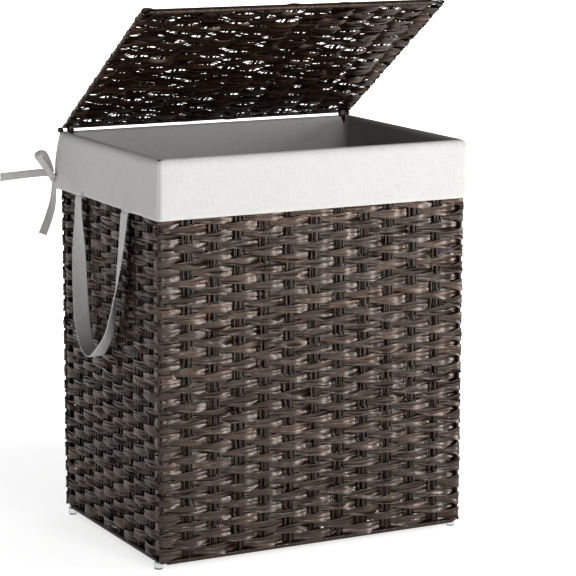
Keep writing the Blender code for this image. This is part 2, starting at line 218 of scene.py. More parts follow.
# The woven fields. Bundles of three flat plastic strands run across each frame, over one
# stake and behind the next, and turn round its side rails. Row follows row with the crossings
# shifted by one stake, so each bundle bulges where it passes over and narrows where it dives.
RAIL = 0.0025  # radius of a frame's wire
ROW = 0.0117  # from one bundle to the next
CREST = 0.0027  # how far a bundle's middle rises over a stake
STRAND = 0.0006  # half of a strand's thickness at its ridge
STEPS = 8  # lengths of a strand from one stake to the next
TURN = 4  # lengths round a side rail
FULL = 0.0115  # half of a bundle's height where it fills its row
PROUD = 0.0046  # how far a strand may stand from the middle of its panel
STAKE_STRAND = 0.0009  # half of the thickness of a strand that runs down a stake
LANES = (-0.0066, -0.0022, 0.0024, 0.0068)  # those strands' places beside the stake's wire
STAKES, SIDE_STAKES = 11, 8  # on a panel as wide as the front, and on a side wall
DIVES = (0.00, 0.10, 0.16, 0.30, 0.50, 0.68, 0.80, 0.88, 1.00)  # along one bundle's wave
SWELLS = (5.2, 3.4, 2.9, 4.4, 5.8, 6.8, 6.8, 6.2, 5.2)  # half of its height there, mm


def flat_rod(name, lengths, creased):
    """A four-sided rod, ridged like a folded strand, cut along its length."""
    bare()
    bpy.ops.mesh.primitive_cylinder_add(
        vertices=4, radius=1, depth=1, end_fill_type="NGON", rotation=(0, math.pi / 2, 0)
    )
    bpy.ops.object.transform_apply(location=False, rotation=True, scale=False)
    rod = named(name)
    for polygon in rod.data.polygons:
        polygon.select = False
    for edge in rod.data.edges:  # only the long edges are cut
        ends = [rod.data.vertices[i].co.x for i in edge.vertices]
        edge.select = abs(ends[0] - ends[1]) > 0.5
    bpy.context.tool_settings.mesh_select_mode = (False, True, False)
    bpy.ops.object.mode_set(mode="EDIT")
    bpy.ops.mesh.subdivide(number_cuts=lengths - 1)
    bpy.ops.object.mode_set(mode="OBJECT")
    rod.data.shade_smooth()
    if creased:
        places = [vertex.co.y for vertex in rod.data.vertices]
        crease = rod.data.attributes.new("sharp_edge", "BOOLEAN", "EDGE")
        crease.data.foreach_set(
            "value", [all(abs(places[i]) > 0.9 for i in edge.vertices) for edge in rod.data.edges]
        )
    return rod


def shape_of(rod, lengths):
    """Which cut each of the rod's points lies on, and its place on the unit section."""
    points = np.empty(len(rod.data.vertices) * 3, np.float32)
    rod.data.vertices.foreach_get("co", points)
    points = points.reshape(-1, 3)
    return np.rint((points[:, 0] + 0.5) * lengths).astype(int), points[:, 1], points[:, 2]


def laid(rod, name, points, along, across, lot):
    """A copy of the rod with its points moved, and the strand's own map and shade on it."""
    made = rod.copy()
    made.data = rod.data.copy()
    made.name = made.data.name = name
    made.data.vertices.foreach_set("co", np.ascontiguousarray(points, np.float32).ravel())
    corners = np.empty(len(made.data.loops), np.int32)
    made.data.loops.foreach_get("vertex_index", corners)
    strand_map = made.data.uv_layers[0]
    strand_map.name = "strand"
    flat = np.stack([along, across], axis=1)[corners]
    strand_map.data.foreach_set("uv", flat.astype(np.float32).ravel())
    shade = made.data.attributes.new("lot", "FLOAT", "POINT")
    shade.data.foreach_set("value", np.full(len(points), lot, np.float32))
    bpy.context.scene.collection.objects.link(made)
    return made


def joined(pieces, name):
    bare()
    for piece in pieces:
        piece.select_set(True)
    bpy.context.view_layer.objects.active = pieces[0]
    bpy.ops.object.join()
    return named(name)


def ripple(rng, count, every):
    """A smooth random wobble of about unit size, with a new turn at every so many points."""
    knots = rng.normal(size=count // every + 3)
    at = np.arange(count) / every
    low = np.floor(at).astype(int)
    share = at - low
    share = share * share * (3 - 2 * share)
    return knots[low] * (1 - share) + knots[low + 1] * share


def course(half, spans, over):
    """A bundle's way across the frame: places across, out of the plane, and along its wave."""
    inner = np.linspace(-half, half, spans * STEPS + 1)
    wave = math.pi * (inner + half) / (2 * half / spans) + (0 if over else math.pi)
    out = CREST * (1.16 * np.cos(wave) - 0.16 * np.cos(3 * wave))
    turned = math.pi * np.arange(TURN, 0, -1) / TURN if over else np.full(TURN, math.pi)
    reach = CREST * (1.6 if half > 0.2 else 1.0)  # a side wall's edges have a neighbour
    first = -half - reach * np.sin(turned), CREST * np.cos(turned)
    over_last = math.cos(wave[-1]) > 0
    turned = math.pi * np.arange(1, TURN + 1) / TURN if over_last else np.full(TURN, math.pi)
    last = half + reach * np.sin(turned), CREST * np.cos(turned)
    if not over:
        first = -half - 0.0007 * np.arange(TURN, 0, -1), np.full(TURN, -CREST)
    if not over_last:
        last = half + 0.0007 * np.arange(1, TURN + 1), np.full(TURN, -CREST)
    ends = np.full(TURN, wave[0]), np.full(TURN, wave[-1])
    return (
        np.concatenate([first[0], inner, last[0]]),
        np.concatenate([first[1], out, last[1]]),
        np.concatenate([ends[0], wave, ends[1]]),
    )


def bundle(rod, name, rng, half, spans, level, over, shade, fullness):
    """One row: three strands side by side on one wave, each with its own width and wobble."""
    x, out, wave = course(half, spans, over)
    count = len(x)
    ring, up, face = shape_of(rod, count - 1)
    swell = np.interp((wave / math.pi + 1) % 2 / 2, DIVES, SWELLS) / 1000
    swell += fullness * (FULL - swell)
    swell *= 1 + 0.10 * ripple(rng, count, STEPS)
    for edge in (-half, half):
        swell += 0.0028 * np.exp(-(((x - edge) / 0.008) ** 2)) * (out > 0)
    drift = 0.0005 * ripple(rng, count, 2 * STEPS)
    widths = rng.uniform(0.55, 1.45, 3)
    widths /= widths.sum()
    edge = -1.0
    along = np.concatenate([[0], np.cumsum(np.hypot(np.diff(x), np.diff(out)))])
    strands = []
    for i, width in enumerate(widths):
        middle = edge + width
        edge += 2 * width
        centre = level + drift + swell * (middle + 0.10 * ripple(rng, count, 5))
        breadth = swell * width * (1.12 + 0.16 * ripple(rng, count, 4)) + 0.0002
        depth = out + 0.0004 * ripple(rng, count, 6) * np.cos(wave) ** 2
        tilt = 0.30 * middle + 0.28 * ripple(rng, count, 5)
        high = STRAND * (1 + 0.2 * ripple(rng, count, 3))
        y = np.cos(tilt[ring]) * up * breadth[ring] - np.sin(tilt[ring]) * face * high[ring]
        z = np.sin(tilt[ring]) * up * breadth[ring] + np.cos(tilt[ring]) * face * high[ring]
        points = np.stack([x[ring], -(depth[ring] + z), centre[ring] + y], axis=1)
        points[:, 1] = np.clip(points[:, 1], -PROUD, PROUD)
        lot = np.clip(shade + rng.normal(0, 0.12), 0, 1)
        shift = rng.uniform(0, 9)
        strands.append(laid(
            rod, f"{name}_{i}", points, along[ring] + shift, up * breadth[ring] + shift, lot
        ))
    return strands


def stake_strands(rod, name, rng, x, low, high, count):
    """The four thin strands that run down a stake, two before its wire and two behind."""
    strands = []
    for i, offset in enumerate(LANES):
        ring, up, face = shape_of(rod, count - 1)
        z = np.linspace(low, high, count)
        sway = offset + 0.0011 * ripple(rng, count, 4) + 0.0005 * ripple(rng, count, 2)
        breadth = rng.uniform(0.0010, 0.0016) * (1 + 0.25 * ripple(rng, count, 3))
        depth = 0.0006 * ripple(rng, count, 3) - (0.0009 if i % 2 else -0.0003)
        tilt = 0.5 * ripple(rng, count, 3)
        y = np.cos(tilt[ring]) * up * breadth[ring] - np.sin(tilt[ring]) * face * STAKE_STRAND
        out = np.sin(tilt[ring]) * up * breadth[ring] + np.cos(tilt[ring]) * face * STAKE_STRAND
        points = np.stack([x + sway[ring] + y, -(depth[ring] + out), z[ring]], axis=1)
        shift = rng.uniform(0, 9)
        strands.append(laid(
            rod, f"{name}_{i}", points, z[ring] + shift, up * breadth[ring] + shift,
            rng.uniform(0.3, 1.0),
        ))
    return strands


def woven_field(name, half, low, high, stakes, place, seed, fullness=0.0):
    """The whole field of one panel, woven in the XZ plane and then set in its place."""
    rng = np.random.default_rng(seed)
    spans = stakes + 1
    rows = round((high - low - 2 * RAIL) / ROW)
    pitch = (high - low - 2 * RAIL - 0.001) / rows
    weft = flat_rod("weft", spans * STEPS + 2 * TURN, True)
    strands = []
    for row in range(rows):
        level = low + RAIL + 0.0005 + pitch * (row + 0.5)
        strands += bundle(
            weft, f"row_{row}", rng, half, spans, level, row % 2 == 0, rng.random(),
            fullness if 0 < row < rows - 1 else max(fullness, 0.3),
        )
    cuts = max(8, round(1.3 * rows))
    warp = flat_rod("warp", cuts, False)
    for i in range(stakes):
        x = (i + 1) * 2 * half / spans - half
        strands += stake_strands(warp, f"stake_{i}", rng, x, low, high, cuts + 1)
    for rod in (weft, warp):
        bpy.data.objects.remove(rod)
    field = joined(strands, f"{name}_weaving")
    field.data.transform(place)
    field.data.materials.clear()
    field.data.materials.append(strand)
    return field


# Crumpled flat strand, extruded in a brown so dark that it looks black, with tan runs in it and
# a silvery film that catches the light along its folds.
strand, tree, shader = principled(
    "strand", (0.03, 0.02, 0.016), 0.36, Specular_IOR_Level=0.9, IOR=1.5,
    Specular_Tint=(1.0, 0.90, 0.83, 1.0),
)
strand_map = node(tree, "ShaderNodeUVMap", uv_map="strand").outputs["UV"]
lot = node(tree, "ShaderNodeAttribute", attribute_name="lot").outputs["Fac"]
runs = noise(tree, scaled(tree, strand_map, (14, 420, 1)), 1.0, 4.0, 0.6)
fibres = noise(tree, scaled(tree, strand_map, (30, 1500, 1)), 1.0, 3.0, 0.6)
brown = ramp(
    tree, runs, (0.30, (0.005, 0.003, 0.002)), (0.50, (0.022, 0.012, 0.008)),
    (0.64, (0.060, 0.035, 0.024)), (0.80, (0.150, 0.100, 0.074)),
)
tan = ramp(
    tree, runs, (0.30, (0.007, 0.004, 0.003)), (0.52, (0.050, 0.026, 0.016)),
    (0.78, (0.210, 0.125, 0.082)),
)
blend = node(tree, "ShaderNodeMix", data_type="RGBA")
tree.links.new(ramp(tree, lot, (0.45, (0, 0, 0)), (0.95, (1, 1, 1))), blend.inputs["Factor"])
tree.links.new(brown, blend.inputs["A"])
tree.links.new(tan, blend.inputs["B"])
tree.links.new(blend.outputs["Result"], shader.inputs["Base Color"])
film = ramp(tree, fibres, (0.3, (0.22,) * 3), (0.7, (0.40,) * 3))
tree.links.new(film, shader.inputs["Roughness"])
heights = node(tree, "ShaderNodeMath", operation="ADD")
tree.links.new(runs, heights.inputs[0])
tree.links.new(fibres, heights.inputs[1])
bumped(tree, shader, heights.outputs["Value"], 0.7, 0.00022)

FACE_Y = frame["joints"][0]["pos_m"][1]  # the hinge line lies over the middle of the back wall
OPEN = math.radians(-frame["joints"][0]["range_deg"][0])
wall_low, wall_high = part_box("front_frame")
side_low, side_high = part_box("left_frame")
floor_low, floor_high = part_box("floor_frame")
lid_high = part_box("lid_frame")[1]
side_x = -(side_low.x + side_high.x) / 2
across = wall_high.x - RAIL
deep = side_high.y - RAIL
low, high = wall_low.z + RAIL, wall_high.z - RAIL
upright = Matrix.Translation((0, -FACE_Y, 0))
turned_round = Matrix.Rotation(math.pi, 4, "Z")
laid_flat = Matrix.Rotation(math.pi / 2, 4, "X")
fields = {
    "front": woven_field("front", across, low, high, STAKES, upright, 1),
    "back": woven_field("back", across, low, high, STAKES, turned_round @ upright, 2),
    "left": woven_field(
        "left", deep, low, high, SIDE_STAKES,
        Matrix.Rotation(-math.pi / 2, 4, "Z") @ Matrix.Translation((0, -side_x, 0)), 3,
    ),
    "right": woven_field(
        "right", deep, low, high, SIDE_STAKES,
        Matrix.Rotation(math.pi / 2, 4, "Z") @ Matrix.Translation((0, -side_x, 0)), 4,
    ),
    "floor": woven_field(
        "floor", floor_high.x - RAIL, floor_low.y + RAIL, floor_high.y - RAIL, STAKES,
        Matrix.Translation((0, 0, (floor_low.z + floor_high.z) / 2)) @ laid_flat, 5,
    ),
    "lid": woven_field(
        "lid", lid_high.x - RAIL, 0, 2 * FACE_Y, STAKES,
        Matrix.Translation(frame["joints"][0]["pos_m"])
        @ Matrix.Rotation(math.pi / 2 - OPEN, 4, "X") @ Matrix.Scale(-1, 4, (0, 1, 0)), 6, 0.62,
    ),
}
fields["lid"].data.flip_normals()
for panel, field in fields.items():
    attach(field, "lid" if panel == "lid" else "hamper")
    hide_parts(f"{panel}_weave")


# The wound rails. A flat strand is wound tight round each wall's bottom rail and round the lid's
# front rail, turn beside turn, to hold the ends of the stakes and keep the wire from the hand.
WIND = 0.0029  # from one turn to the next
WOUND = 0.0034  # radius of the winding's middle


def mapped(piece, along, across, lot):
    """Gives each point its place along and across its strand, and its shade."""
    corners = np.empty(len(piece.data.loops), np.int32)
    piece.data.loops.foreach_get("vertex_index", corners)
    while piece.data.uv_layers:
        piece.data.uv_layers.remove(piece.data.uv_layers[0])
    strand_map = piece.data.uv_layers.new(name="strand")
    flat = np.stack([along, across], axis=1)[corners]
    strand_map.data.foreach_set("uv", flat.astype(np.float32).ravel())
    shade = piece.data.attributes.new("lot", "FLOAT", "POINT")
    shade.data.foreach_set("value", np.broadcast_to(np.float32(lot), len(along)).copy())


def winding(name, length, place, lot):
    """A flat strand wound along the Z axis, its ends closed, and then set in its place."""
    turns = round(length / WIND)
    bare()
    bpy.ops.mesh.primitive_circle_add(vertices=6, radius=1, rotation=(math.pi / 2, 0, 0))
    bpy.ops.transform.resize(value=(0.0006, 1, 0.53 * WIND))
    bpy.ops.transform.translate(value=(WOUND, 0, -length / 2 + WIND / 2))
    bpy.ops.object.transform_apply(location=True, rotation=True, scale=True)
    wound = named(name)
    wind = wound.modifiers.new("wind", "SCREW")
    wind.screw_offset = WIND
    wind.iterations = turns - 1
    wind.steps = wind.render_steps = 9
    bpy.ops.object.modifier_apply(modifier="wind")
    points = len(wound.data.vertices)
    bpy.ops.object.mode_set(mode="EDIT")
    bpy.ops.mesh.select_all(action="SELECT")
    bpy.ops.mesh.normals_make_consistent(inside=False)
    bpy.ops.mesh.fill_holes(sides=6)
    bpy.ops.object.mode_set(mode="OBJECT")
    wound.data.shade_smooth()
    step = np.arange(points) // 6
    side = np.arange(points) % 6
    mapped(wound, step * 0.0024, 0.0015 * np.cos(side * math.pi / 3), lot)
    wound.data.transform(place)
    wound.data.materials.clear()
    wound.data.materials.append(strand)
    return wound


along_x = Matrix.Rotation(math.pi / 2, 4, "Y")
along_y = Matrix.Rotation(math.pi / 2, 4, "X")
for panel in ("front", "back", "left", "right"):
    wrap_low, wrap_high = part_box(f"{panel}_bottom_wrap")
    middle = (wrap_low + wrap_high) / 2
    middle.z = wall_low.z + RAIL
    run = max(wrap_high - wrap_low)
    turn = along_x if panel in ("front", "back") else along_y
    wound = winding(f"{panel}_bottom_winding", run, Matrix.Translation(middle) @ turn, 0.35)
    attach(wound, "hamper")
    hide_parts(f"{panel}_bottom_wrap")
wrap_low, wrap_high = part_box("lid_front_wrap")
wound = winding(
    "lid_front_winding", wrap_high.x - wrap_low.x,
    Matrix.Translation((wrap_low + wrap_high) / 2) @ along_x, 0.8,
)
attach(wound, "lid")
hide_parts("lid_front_wrap")


# The corner ties. Three turns of single strand bind the two upright rails at each corner, low,
# halfway and high. The end crosses the turns on the outside and is left a little proud.
TIE = 0.0009  # radius of the strand
LOOP = 0.0041  # from a rail's middle to the middle of a turn
CLIMB = 0.0019  # from one turn to the next


def round_both(first, second, radius, turns, rise, points=7):
    """A strand's way round two rails, each (across, up), climbing by rise on every turn."""
    along = Vector(second) - Vector(first)
    start = math.atan2(along.y, along.x) + math.pi / 2
    way = []
    for lap in range(2 * turns):
        centre = first if lap % 2 == 0 else second
        for step in range(points):
            angle = start + math.pi * (lap % 2 + step / (points - 1))
            way.append((
                centre[0] + radius * math.cos(angle),
                centre[1] + radius * math.sin(angle),
                rise * (lap / 2 + 0.5 * step / (points - 1)),
            ))
    return way


def tube(name, way, radius, lot, material=None, section=2):
    """Round strand along the points, with closed ends, its map running along it."""
    bare()
    data = bpy.data.curves.new(name, "CURVE")
    data.dimensions = "3D"
    line = data.splines.new("POLY")
    line.points.add(len(way) - 1)
    for point, place in zip(line.points, way):
        point.co = (*place, 1.0)
    data.bevel_depth = radius
    data.bevel_resolution = section
    data.use_fill_caps = True
    curve = bpy.data.objects.new(name, data)
    bpy.context.scene.collection.objects.link(curve)
    curve.select_set(True)
    bpy.context.view_layer.objects.active = curve
    bpy.ops.object.convert(target="MESH")
    made = named(name)
    made.data.shade_smooth()
    places = np.array([vertex.co for vertex in made.data.vertices])
    path = np.array(way)
    nearest = np.argmin(((places[:, None] - path[None]) ** 2).sum(axis=2), axis=1)
    steps = np.concatenate([[0], np.cumsum(np.linalg.norm(np.diff(path, axis=0), axis=1))])
    side = (places - path[nearest]) @ np.array((0.5, 0.3, 0.81))
    mapped(made, steps[nearest], side, lot)
    made.data.materials.clear()
    made.data.materials.append(material or strand)
    return made


turns = round_both((0, 0), (0, side_high.y - RAIL - FACE_Y), LOOP, 3, CLIMB)
crossing = turns[-1]
turns += [
    (crossing[0] + 0.0012, crossing[1] - 0.002, crossing[2] - 0.0010),
    (crossing[0] + 0.0014, crossing[1] - 0.004, crossing[2] - 0.0035),
    (crossing[0] + 0.0020, crossing[1] - 0.005, crossing[2] - 0.0062),
    (crossing[0] + 0.0042, crossing[1] - 0.006, crossing[2] - 0.0088),
]
tie = tube("tie", turns, TIE, 0.3)
for side, sign in (("left", -1), ("right", 1)):
    for end, facing in (("front", -1), ("back", 1)):
        for level in ("low", "middle", "high"):
            tie_low, tie_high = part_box(f"corner_tie_{end}_{side}_{level}")
            copy = tie.copy()
            copy.data = tie.data.copy()
            copy.name = copy.data.name = f"{end}_{side}_{level}_binding"
            bpy.context.scene.collection.objects.link(copy)
            copy.data.transform(
                Matrix.Translation((sign * side_x, facing * FACE_Y, tie_low.z - CLIMB))
                @ Matrix.Diagonal((sign, facing, 1, 1))
            )
            if sign * facing < 0:
                copy.data.flip_normals()
            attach(copy, "hamper")
            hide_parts(f"corner_tie_{end}_{side}_{level}")
bpy.data.objects.remove(tie)


# The hinge lashings. Four slack turns of strand hold the lid's rear rail to the back wall's top
# rail near each end, and let it turn. The knot is pulled to the outside, with a tail left on it.
lid_rail = frame["joints"][0]["pos_m"]
turns = round_both((0, lid_rail[2] - high), (0, 0), LOOP - 0.0003, 4, CLIMB)
tail = turns[-1]
turns += [
    (tail[0] + 0.001, tail[1] + 0.001, tail[2] + 0.002),
    (tail[0] + 0.001, tail[1] + 0.003, tail[2] + 0.005),
]
knot = [(
    tail[0] + 0.0016 + 0.0022 * math.cos(1.9 * t), tail[1] + 0.0058 + 0.0024 * math.sin(1.9 * t),
    tail[2] + 0.0085 + 0.0026 * math.sin(1.3 * t),
) for t in np.linspace(0, 4 * math.pi, 40)]
turns += knot
turns += [
    (knot[-1][0] + 0.0010, knot[-1][1] - 0.004, knot[-1][2] + 0.0015),
    (knot[-1][0] + 0.0012, knot[-1][1] - 0.009, knot[-1][2]),
    (knot[-1][0] + 0.0008, knot[-1][1] - 0.015, knot[-1][2] - 0.0025),
]
lashing = tube("lashing", turns, 1.25 * TIE, 0.2)
for side, sign in (("left", -1), ("right", 1)):
    tie_low, tie_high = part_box(f"hinge_lashing_{side}")
    copy = lashing.copy()
    copy.data = lashing.data.copy()
    copy.name = copy.data.name = f"{side}_hinge_binding"
    bpy.context.scene.collection.objects.link(copy)
    middle = (tie_low.x + tie_high.x) / 2
    copy.data.transform(
        Matrix.Translation((middle - sign * 0.004, FACE_Y, high))
        @ Matrix(((0, 0, sign, 0), (1, 0, 0, 0), (0, 1, 0, 0), (0, 0, 0, 1)))
    )
    if sign < 0:
        copy.data.flip_normals()
    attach(copy, "hamper")
    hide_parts(f"hinge_lashing_{side}")
bpy.data.objects.remove(lashing)


# The glides. A short clear plastic foot is pressed up onto the bottom rail at each end of the
# side walls. It is moulded, so it is smooth, and its edge and saddle catch the light.
clear, tree, shader = principled(
    "clear_plastic", (0.93, 0.95, 0.96), 0.08, Transmission_Weight=0.85, IOR=1.47
)
place = node(tree, "ShaderNodeTexCoord").outputs["Object"]
cloud = ramp(tree, noise(tree, place, 160), (0.3, (0.05,) * 3), (0.8, (0.16,) * 3))
tree.links.new(cloud, shader.inputs["Roughness"])
bumped(tree, shader, noise(tree, place, 90), 0.2, 0.0004)
for end in ("front", "back"):
    for side in ("left", "right"):
        glide = frame["nodes"][f"glide_{end}_{side}"]
        glide.data.materials.clear()
        glide.data.materials.append(clear)


# The liner. One bag of off-white plain-weave cotton, sewn at its corners, lies on the floor panel,
# hangs against the walls, turns over the top rails and comes down outside as a cuff with a hem.
# It is slack inside, so it bellies inward, and its corners round off where the cloth is eased.
CLOTH = 0.0011  # thickness
BESIDE = 0.0059  # from the middle of a wall to the middle of the cloth on either side
SIDE_POINTS, CORNER_POINTS = 44, 8
ROUND = 4 * (SIDE_POINTS + CORNER_POINTS)
hem = frame["joints"][1]["pos_m"][2] + 0.006  # the handles turn on a line just under it
strap_legs = (-0.0680, 0.0870)  # the two legs of a handle, front and back
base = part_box("liner_floor")[0].z + CLOTH / 2
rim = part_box("liner_front")[1].z - CLOTH / 2 - 0.0002
top = high - 0.003


def ring(half_x, half_y, bend):
    """Points round a rectangle with rounded corners, from the left end of its front."""
    bend = min(bend, half_x, half_y)
    quarters = (1, -1), (1, 1), (-1, 1), (-1, -1)
    centres = [(sx * (half_x - bend), sy * (half_y - bend)) for sx, sy in quarters]
    places = []
    for i, (x, y) in enumerate(centres):
        start = math.radians(90 * i - 90)
        last_x, last_y = centres[i - 1]
        for step in range(SIDE_POINTS):
            share = step / SIDE_POINTS
            places.append((
                last_x + (x - last_x) * share + bend * math.cos(start),
                last_y + (y - last_y) * share + bend * math.sin(start),
            ))
        for step in range(CORNER_POINTS):
            angle = start + math.radians(90 * step / CORNER_POINTS)
            places.append((x + bend * math.cos(angle), y + bend * math.sin(angle)))
    return np.array(places)


levels = []  # of the cloth: part, height, half width, half depth, bend at the corners
inner_x, inner_y = side_x - BESIDE, FACE_Y - BESIDE
for share in (0.04, 0.3, 0.6, 0.85, 0.97):
    levels.append(("base", base, inner_x * share, inner_y * share, 0.012))
levels.append(("base", base + 0.003, inner_x - 0.002, inner_y - 0.002, 0.012))
for share in np.linspace(0, 1, 22):
    height = base + 0.010 + (top - base - 0.010) * share
    levels.append(("wall", height, inner_x, inner_y, 0.012 - 0.005 * share))
for degrees in range(15, 180, 15):
    turned = math.radians(degrees)
    offset = -BESIDE * math.cos(turned)
    height = top + (rim - top) * math.sin(turned)
    levels.append(("rim", height, side_x + offset, FACE_Y + offset, 0.005 + 0.001 * degrees / 180))
for share in (*np.linspace(0, 0.93, 14), 0.985):
    levels.append(("cuff", top + (hem - top) * share, side_x + BESIDE, FACE_Y + BESIDE, 0.006))
levels.append(("cuff", hem + 0.0002, side_x + BESIDE - 0.0008, FACE_Y + BESIDE - 0.0008, 0.006))

bare()
bpy.ops.mesh.primitive_circle_add(vertices=ROUND, radius=1)
bpy.ops.object.mode_set(mode="EDIT")
bpy.ops.mesh.select_all(action="SELECT")
bpy.ops.mesh.edge_face_add()
for _ in levels[1:]:
    bpy.ops.mesh.extrude_region_move(TRANSFORM_OT_translate={"value": (0, 0, 1)})
bpy.ops.mesh.delete(type="ONLY_FACE")
bpy.ops.object.mode_set(mode="OBJECT")
liner = named("liner")
grid = np.array([vertex.co for vertex in liner.data.vertices])
level = np.rint(grid[:, 2]).astype(int)
around = np.rint(np.arctan2(grid[:, 1], grid[:, 0]) / (2 * math.pi) * ROUND).astype(int) % ROUND

wall_line = ring(side_x, FACE_Y, 0.02)
ahead = np.roll(wall_line, -1, axis=0) - np.roll(wall_line, 1, axis=0)
outward = np.stack([ahead[:, 1], -ahead[:, 0]], axis=1)
outward /= np.linalg.norm(outward, axis=1)[:, None]
turn = np.arange(ROUND) / ROUND * 2 * math.pi
along_side = np.arange(ROUND) % (SIDE_POINTS + CORNER_POINTS)
slack = np.sin(math.pi * np.clip(along_side / SIDE_POINTS, 0, 1))  # 1 at the middle of a side
seam = (along_side == SIDE_POINTS + CORNER_POINTS // 2).astype(float)
bow_side = sum(
    np.exp(-((wall_line[:, 0] - sign * side_x) ** 2 + (wall_line[:, 1] - FACE_Y) ** 2) / 0.05 ** 2)
    for sign in (-1, 1)
)
over_strap = sum(  # the cuff covers the sewn ends of the two handles
    np.exp(-(((wall_line[:, 1] - leg) / 0.013) ** 2)) * (np.abs(wall_line[:, 0]) > side_x - 0.001)
    for leg in strap_legs
)
laid_out = np.zeros((len(levels), ROUND, 3))
for i, (part, height, half_x, half_y, bend) in enumerate(levels):
    laid_out[i, :, :2] = ring(half_x, half_y, bend)
    laid_out[i, :, 2] = height
    share = (height - base) / (top - base)
    if part == "wall":
        full = math.sin(math.pi * min(share, 1)) ** 0.8
        wide, narrow = np.sin(5 * turn + 4 * share), np.sin(13 * turn - 3 * share)
        waves = np.abs(0.0016 * wide + 0.0010 * narrow)
        laid_out[i, :, :2] -= outward * (full * (0.0060 * slack + waves))[:, None]
    if part == "cuff":
        share = (top - height) / (top - hem)
        folds = np.abs(0.0006 * np.sin(7 * turn + 1.5) + 0.0005 * np.sin(17 * turn + 3 * share))
        flare = 0.0003 + folds * (0.3 + 0.7 * share) + 0.0010 * share * (1 - slack) ** 3
        flare += 0.0060 * bow_side * math.sin(0.5 * math.pi * min(1, 1.6 * share)) - 0.0006 * seam
        flare += 0.0034 * over_strap * share**3
        laid_out[i, :, :2] += outward * flare[:, None]
points = laid_out[level, around]
liner.data.vertices.foreach_set("co", points.astype(np.float32).ravel())
bpy.ops.object.mode_set(mode="EDIT")
bpy.ops.mesh.select_all(action="SELECT")
bpy.ops.mesh.normals_make_consistent(inside=False)
bpy.ops.object.mode_set(mode="OBJECT")


def thread_map(cloth):
    """Lays the weave's map flat on each panel of cloth, in metres, with a join at the seams."""
    for layer in list(cloth.data.uv_layers):
        cloth.data.uv_layers.remove(layer)
    layer = cloth.data.uv_layers.new(name="cloth")
    for polygon in cloth.data.polygons:
        facing = [abs(part) for part in polygon.normal]
        first, second = ((1, 2), (0, 2), (0, 1))[facing.index(max(facing))]
        for loop in polygon.loop_indices:
            place = cloth.data.vertices[cloth.data.loops[loop].vertex_index].co
            layer.data[loop].uv = (place[first], place[second])


def finished(piece, *steps):
    """Applies each modifier in turn: its kind and its settings."""
    bare()
    piece.select_set(True)
    bpy.context.view_layer.objects.active = piece
    for kind, settings in steps:
        step = piece.modifiers.new(kind.lower(), kind)
        for key, value in settings.items():
            setattr(step, key, value)
        bpy.ops.object.modifier_apply(modifier=step.name)


thread_map(liner)
finished(liner, ("SOLIDIFY", {"thickness": CLOTH, "offset": 0.0}))
for sign in (-1, 1):
    tie_low, tie_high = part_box("hinge_lashing_left" if sign < 0 else "hinge_lashing_right")
    middle = (tie_low.x + tie_high.x) / 2
    bare()
    bpy.ops.mesh.primitive_cylinder_add(vertices=3, radius=0.009, depth=0.05)
    bpy.ops.transform.resize(value=(0.5, 1, 1))
    bpy.ops.object.transform_apply(location=True, rotation=True, scale=True)
    wedge = named("notch")
    wedge.data.transform(
        Matrix.Translation((middle, FACE_Y, rim - 0.0035)) @ Matrix.Rotation(-math.pi / 2, 4, "X")
    )
    notch = {"object": wedge, "operation": "DIFFERENCE", "solver": "MANIFOLD"}
    finished(liner, ("BOOLEAN", notch))
    bpy.data.objects.remove(wedge)
liner.data.shade_smooth()

# Plain-weave cotton: two sets of threads half a millimetre across, uneven where a thread is thick,
# off-white with slightly darker threads among the rest.
cotton, tree, shader = principled("cotton", (0.80, 0.79, 0.76), 0.92, Sheen_Weight=0.15)
cloth = node(tree, "ShaderNodeUVMap", uv_map="cloth").outputs["UV"]


def threads(tree, vector, direction, pitch):
    """Rounded threads side by side, bent a little out of line."""
    made = node(tree, "ShaderNodeTexWave", bands_direction=direction, wave_profile="SIN")
    made.inputs["Scale"].default_value = math.pi / (10 * pitch)
    made.inputs["Distortion"].default_value = 0.6
    made.inputs["Detail"].default_value = 1.0
    tree.links.new(vector, made.inputs["Vector"])
    return made.outputs["Fac"]


def mixed(tree, kind, first, second):
    made = node(tree, "ShaderNodeMath", operation=kind)
    tree.links.new(first, made.inputs[0])
    tree.links.new(second, made.inputs[1])
    return made.outputs["Value"]


weave = mixed(tree, "ADD", threads(tree, cloth, "X", 0.0007), threads(tree, cloth, "Y", 0.0007))
slubs = mixed(
    tree, "ADD", noise(tree, scaled(tree, cloth, (60, 900, 1)), 1.0),
    noise(tree, scaled(tree, cloth, (900, 60, 1)), 1.0),
)
bumped(tree, shader, mixed(tree, "ADD", weave, slubs), 0.35, 0.0004)
tree.links.new(
    ramp(
        tree, mixed(tree, "MULTIPLY", slubs, slubs),
        (0.45, (0.52, 0.515, 0.495)), (1.0, (0.59, 0.585, 0.57)),
    ),
    shader.inputs["Base Color"],
)
liner.data.materials.clear()
liner.data.materials.append(cotton)
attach(liner, "hamper")
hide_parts("liner_front", "liner_back", "liner_left", "liner_right", "liner_floor")


